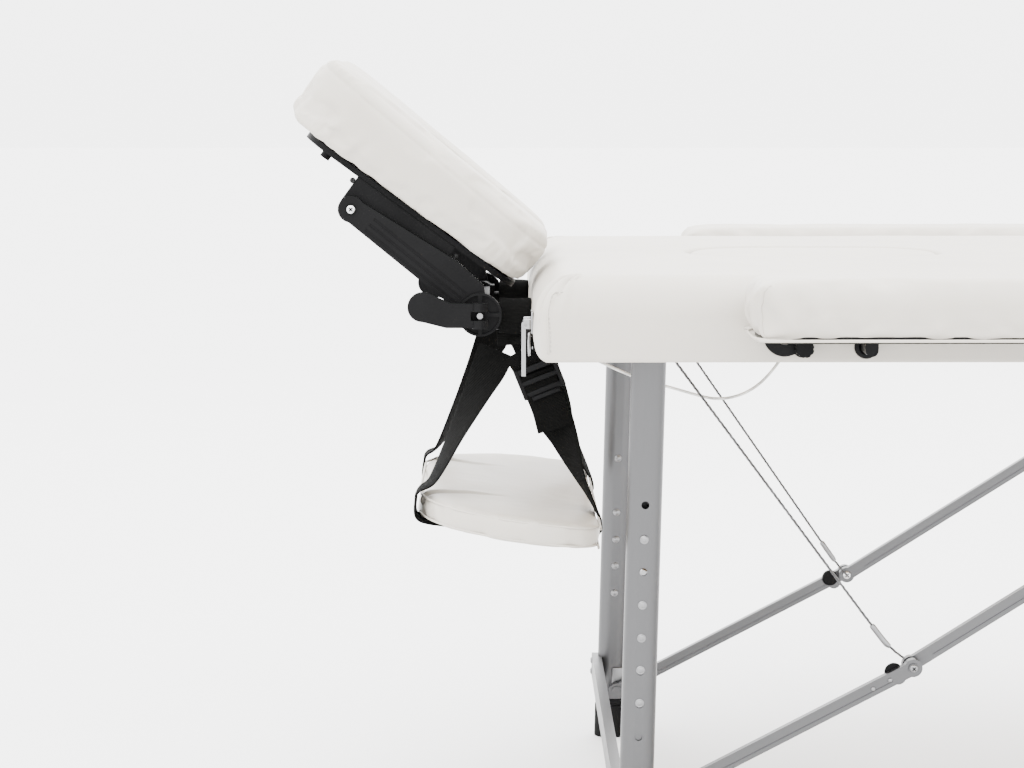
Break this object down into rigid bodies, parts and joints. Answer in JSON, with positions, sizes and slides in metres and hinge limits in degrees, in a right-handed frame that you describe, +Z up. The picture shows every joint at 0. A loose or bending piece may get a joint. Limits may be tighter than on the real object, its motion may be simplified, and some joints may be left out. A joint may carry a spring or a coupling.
{
  "type": "portable massage table",
  "caption": "Folding massage table on telescopic legs, with tilting face cradle, hanging arm sling, side armrests and lift-out face plug.",
  "frame": {"origin": "on the floor, under the middle of the object's box", "axes": "+X from the head end to the foot end, +Y across to the far side, +Z up"},
  "size_m": [2.1036, 0.93, 0.8044],
  "materials": {
    "vinyl": "fine-grained white upholstery vinyl",
    "plywood": "clear lacquered plywood",
    "satin_aluminium": "satin anodised",
    "chrome": "polished",
    "steel": "zinc plated",
    "black_plastic": "moulded",
    "black_metal": "satin powder coat",
    "rubber": "moulded",
    "webbing": "woven polypropylene webbing",
    "cord_jacket": "plastic-coated cord"
  },
  "bodies": {
    "head_section": {"head_side_rails": "plywood", "head_cross_rails": "plywood", "head_deck": "plywood", "head_pad": "vinyl", "head_side_cover": "vinyl", "accessory_sockets": "satin_aluminium", "head_leg_brackets": "black_metal", "head_link_brackets": "black_metal", "head_hinge_leaves": "steel", "loop_cord": "cord_jacket", "cord_clips": "black_plastic"},
    "face_plug": {"face_plug": "vinyl"},
    "foot_section": {"foot_side_rails": "plywood", "foot_cross_rails": "plywood", "foot_deck": "plywood", "foot_pad": "vinyl", "foot_side_cover": "vinyl", "foot_leg_brackets": "black_metal", "foot_link_brackets": "black_metal", "foot_hinge_leaves": "steel", "carry_handle": "webbing"},
    "head_legs": {"head_leg_tubes": "satin_aluminium", "head_crossbar": "satin_aluminium"},
    "foot_legs": {"foot_leg_tubes": "satin_aluminium", "foot_crossbar": "satin_aluminium"},
    "head_lower_links": {"head_lower_links": "satin_aluminium"},
    "head_upper_links": {"head_upper_links": "satin_aluminium"},
    "foot_lower_links": {"foot_lower_links": "satin_aluminium"},
    "foot_upper_links": {"foot_upper_links": "satin_aluminium"},
    "head_stays": {"head_stays": "steel"},
    "foot_stays": {"foot_stays": "steel"},
    "headrest_base": {"headrest_base": "black_plastic", "strap_loops": "webbing"},
    "headrest_arms": {"headrest_arms": "black_plastic"},
    "face_cradle": {"cradle_plate": "black_plastic", "face_cushion": "vinyl"},
    "cam_lever_near": {"cam_lever_near": "black_plastic"},
    "cam_lever_far": {"cam_lever_far": "black_plastic"},
    "sling": {"sling_straps": "webbing", "sling_buckles": "black_plastic", "sling_shelf": "vinyl"},
    "armrest_near": {"armrest_near_frame": "black_metal", "armrest_near_pad": "vinyl"},
    "armrest_far": {"armrest_far_frame": "black_metal", "armrest_far_pad": "vinyl"},
    "arm_knob_near": {"arm_knob_near": "black_plastic"},
    "arm_knob_far": {"arm_knob_far": "black_plastic"},
    "latch_pull": {"latch_pull": "chrome"},
    "inner_leg_head_near": {"inner_leg_head_near": "satin_aluminium", "rubber_foot_head_near": "rubber"},
    "button_head_near": {"button_head_near": "chrome"},
    "inner_leg_head_far": {"inner_leg_head_far": "satin_aluminium", "rubber_foot_head_far": "rubber"},
    "button_head_far": {"button_head_far": "chrome"},
    "inner_leg_foot_near": {"inner_leg_foot_near": "satin_aluminium", "rubber_foot_foot_near": "rubber"},
    "button_foot_near": {"button_foot_near": "chrome"},
    "inner_leg_foot_far": {"inner_leg_foot_far": "satin_aluminium", "rubber_foot_foot_far": "rubber"},
    "button_foot_far": {"button_foot_far": "chrome"}
  },
  "joints": [
    {"name": "table_fold", "type": "hinge", "parent": "head_section", "child": "foot_section", "pos_m": [0.12, 0, 0.516], "axis": [0, 1, 0], "range_deg": [0, 180], "deforming": ["loop_cord"]},
    {"name": "head_legs_fold", "type": "hinge", "parent": "head_section", "child": "head_legs", "pos_m": [-0.698, 0, 0.535], "axis": [0, -1, 0], "range_deg": [0, 91.31]},
    {"name": "head_lower_link_pivot", "type": "hinge", "parent": "head_legs", "child": "head_lower_links", "pos_m": [-0.70378, 0, 0.06001], "axis": [0, -1, 0], "range_deg": [0, 60.53]},
    {"name": "head_upper_link_pivot", "type": "hinge", "parent": "head_section", "child": "head_upper_links", "pos_m": [0.092, 0, 0.538], "axis": [0, -1, 0], "range_deg": [-32.93, 0]},
    {"name": "head_stay_swing", "type": "hinge", "parent": "head_section", "child": "head_stays", "pos_m": [-0.684, 0, 0.545], "axis": [0, -1, 0], "range_deg": [0, 53.63]},
    {"name": "head_near_leg_height", "type": "slide", "parent": "head_legs", "child": "inner_leg_head_near", "axis": [-0.0227, 0, -0.9997], "range_m": [0, 0.198]},
    {"name": "head_near_button_press", "type": "slide", "parent": "inner_leg_head_near", "child": "button_head_near", "axis": [0, 1, 0], "range_m": [0, 0.0055], "stiffness_N_per_m": 300, "springref_m": -0.004},
    {"name": "head_far_leg_height", "type": "slide", "parent": "head_legs", "child": "inner_leg_head_far", "axis": [-0.0227, 0, -0.9997], "range_m": [0, 0.198]},
    {"name": "head_far_button_press", "type": "slide", "parent": "inner_leg_head_far", "child": "button_head_far", "axis": [0, -1, 0], "range_m": [0, 0.0055], "stiffness_N_per_m": 300, "springref_m": -0.004},
    {"name": "foot_legs_fold", "type": "hinge", "parent": "foot_section", "child": "foot_legs", "pos_m": [0.938, 0, 0.535], "axis": [0, 1, 0], "range_deg": [0, 91.31]},
    {"name": "foot_lower_link_pivot", "type": "hinge", "parent": "foot_legs", "child": "foot_lower_links", "pos_m": [0.94378, 0, 0.06001], "axis": [0, 1, 0], "range_deg": [0, 60.53]},
    {"name": "foot_upper_link_pivot", "type": "hinge", "parent": "foot_section", "child": "foot_upper_links", "pos_m": [0.148, 0, 0.538], "axis": [0, 1, 0], "range_deg": [-32.93, 0]},
    {"name": "foot_stay_swing", "type": "hinge", "parent": "foot_section", "child": "foot_stays", "pos_m": [0.924, 0, 0.545], "axis": [0, 1, 0], "range_deg": [0, 53.63]},
    {"name": "foot_near_leg_height", "type": "slide", "parent": "foot_legs", "child": "inner_leg_foot_near", "axis": [0.0227, 0, -0.9997], "range_m": [0, 0.198]},
    {"name": "foot_near_button_press", "type": "slide", "parent": "inner_leg_foot_near", "child": "button_foot_near", "axis": [0, 1, 0], "range_m": [0, 0.0055], "stiffness_N_per_m": 300, "springref_m": -0.004},
    {"name": "foot_far_leg_height", "type": "slide", "parent": "foot_legs", "child": "inner_leg_foot_far", "axis": [0.0227, 0, -0.9997], "range_m": [0, 0.198]},
    {"name": "foot_far_button_press", "type": "slide", "parent": "inner_leg_foot_far", "child": "button_foot_far", "axis": [0, -1, 0], "range_m": [0, 0.0055], "stiffness_N_per_m": 300, "springref_m": -0.004},
    {"name": "headrest_reach", "type": "slide", "parent": "head_section", "child": "headrest_base", "axis": [-1, 0, 0], "range_m": [0, 0.05]},
    {"name": "headrest_height", "type": "hinge", "parent": "headrest_base", "child": "headrest_arms", "pos_m": [-0.863, 0, 0.547], "axis": [0, -1, 0], "range_deg": [0, 57]},
    {"name": "cradle_tilt", "type": "hinge", "parent": "headrest_arms", "child": "face_cradle", "pos_m": [-0.99343, 0, 0.65344], "axis": [0, 1, 0], "range_deg": [-20, 3]},
    {"name": "cam_lever_near_flip", "type": "hinge", "parent": "headrest_base", "child": "cam_lever_near", "pos_m": [-0.863, -0.159, 0.547], "axis": [0, 0, 1], "range_deg": [0, 95]},
    {"name": "cam_lever_far_flip", "type": "hinge", "parent": "headrest_base", "child": "cam_lever_far", "pos_m": [-0.863, 0.159, 0.547], "axis": [0, 0, -1], "range_deg": [0, 95]},
    {"name": "sling_swing", "type": "hinge", "parent": "headrest_base", "child": "sling", "pos_m": [-0.85, 0, 0.522], "axis": [0, 1, 0], "range_deg": [0, 36.01]},
    {"name": "face_plug_lift", "type": "slide", "parent": "head_section", "child": "face_plug", "axis": [0, 0, 1], "range_m": [0, 0.06]},
    {"name": "armrest_near_pull", "type": "slide", "parent": "head_section", "child": "armrest_near", "axis": [0, -1, 0], "range_m": [0, 0.03]},
    {"name": "arm_knob_near_turn", "type": "hinge", "parent": "armrest_near", "child": "arm_knob_near", "pos_m": [-0.56, -0.35, 0.535], "axis": [0, -1, 0], "continuous": true},
    {"name": "armrest_far_pull", "type": "slide", "parent": "head_section", "child": "armrest_far", "axis": [0, 1, 0], "range_m": [0, 0.03]},
    {"name": "arm_knob_far_turn", "type": "hinge", "parent": "armrest_far", "child": "arm_knob_far", "pos_m": [-0.56, 0.35, 0.535], "axis": [0, 1, 0], "continuous": true},
    {"name": "latch_pull_swing", "type": "hinge", "parent": "head_section", "child": "latch_pull", "pos_m": [-0.818, -0.262, 0.549], "axis": [0, 1, 0], "range_deg": [0, 85]}
  ],
  "couplings": [
    {"joint": "head_legs_fold", "follows": "table_fold", "ratio": 0.50722},
    {"joint": "head_lower_link_pivot", "follows": "table_fold", "ratio": 0.3362},
    {"joint": "head_upper_link_pivot", "follows": "table_fold", "ratio": -0.18289},
    {"joint": "head_stay_swing", "follows": "table_fold", "ratio": 0.2979},
    {"joint": "foot_legs_fold", "follows": "table_fold", "ratio": 0.50722},
    {"joint": "foot_lower_link_pivot", "follows": "table_fold", "ratio": 0.3362},
    {"joint": "foot_upper_link_pivot", "follows": "table_fold", "ratio": -0.18289},
    {"joint": "foot_stay_swing", "follows": "table_fold", "ratio": 0.2979},
    {"joint": "sling_swing", "follows": "table_fold", "ratio": 0.2}
  ]
}
